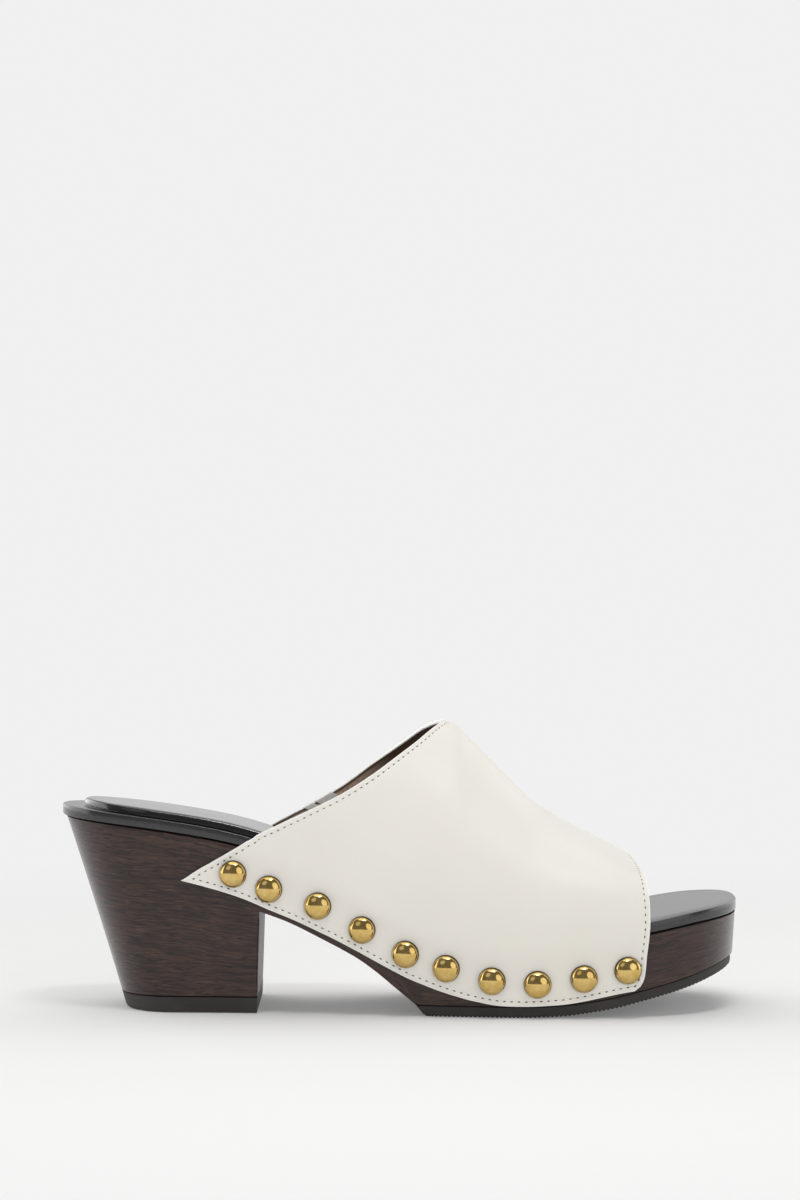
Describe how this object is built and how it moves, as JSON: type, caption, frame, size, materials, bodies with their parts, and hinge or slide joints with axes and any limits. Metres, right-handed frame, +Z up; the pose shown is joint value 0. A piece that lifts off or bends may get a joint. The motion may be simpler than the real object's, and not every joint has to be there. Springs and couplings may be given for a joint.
{
  "type": "open-toe clog mule",
  "caption": "Open-toe backless clog for the right foot: smooth leather upper nailed with domed studs to a dark platform and block heel.",
  "frame": {"origin": "on the floor, under the middle of the shoe's bounding box", "axes": "+X from heel to toe, +Y to the inner side of the foot, +Z up"},
  "size_m": [0.24, 0.0982, 0.101],
  "materials": {
    "leather": "smooth warm white, semi-matt",
    "wood_effect": "dark brown stain with a satin clear coat",
    "board": "black, satin",
    "pad": "black, polished",
    "sole_rubber": "black, moulded",
    "brass": "antique gold, polished"
  },
  "bodies": {
    "root": {"upper": "leather", "platform_heel_unit": "wood_effect", "footbed_board": "board", "insole_pad": "pad", "forepart_outsole": "sole_rubber", "heel_top_lift": "sole_rubber", "stud_lateral_01": "brass", "stud_lateral_02": "brass", "stud_lateral_03": "brass", "stud_lateral_04": "brass", "stud_lateral_05": "brass", "stud_lateral_06": "brass", "stud_lateral_07": "brass", "stud_lateral_08": "brass", "stud_lateral_09": "brass", "stud_lateral_10": "brass", "stud_medial_01": "brass", "stud_medial_02": "brass", "stud_medial_03": "brass", "stud_medial_04": "brass", "stud_medial_05": "brass", "stud_medial_06": "brass", "stud_medial_07": "brass", "stud_medial_08": "brass", "stud_medial_09": "brass", "stud_medial_10": "brass"}
  },
  "joints": []
}
